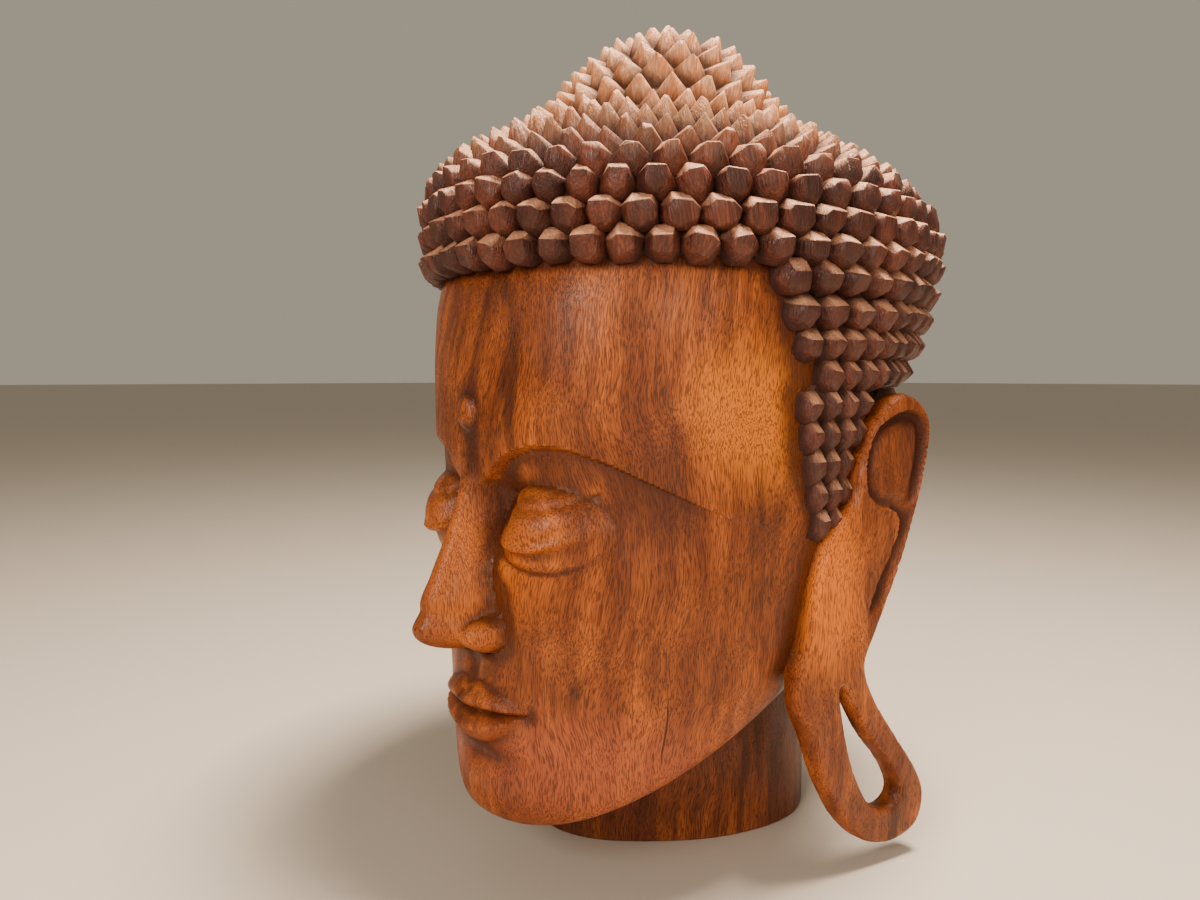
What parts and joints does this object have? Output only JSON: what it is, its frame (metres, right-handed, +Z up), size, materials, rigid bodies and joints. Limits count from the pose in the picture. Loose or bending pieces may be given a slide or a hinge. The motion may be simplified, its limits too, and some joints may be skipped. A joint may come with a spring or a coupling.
{
  "type": "carved wooden buddha head",
  "caption": "Carved wooden buddha head with a calm face, hair of pointed curls rising to a bun, long looped ears and an oval neck that it stands on.",
  "frame": {"origin": "middle of the neck's oval underside, before its left front is pared away", "axes": "+Z up from the neck to the topmost curl, -Y the way the face looks, +X towards the head's own left ear"},
  "size_m": [0.2692, 0.3302, 0.445],
  "materials": {
    "waxed_wood": "hand-carved and wax-polished, satin on the skin and matte in the hair"
  },
  "bodies": {
    "root": {"buddha_head": "waxed_wood"}
  },
  "joints": []
}
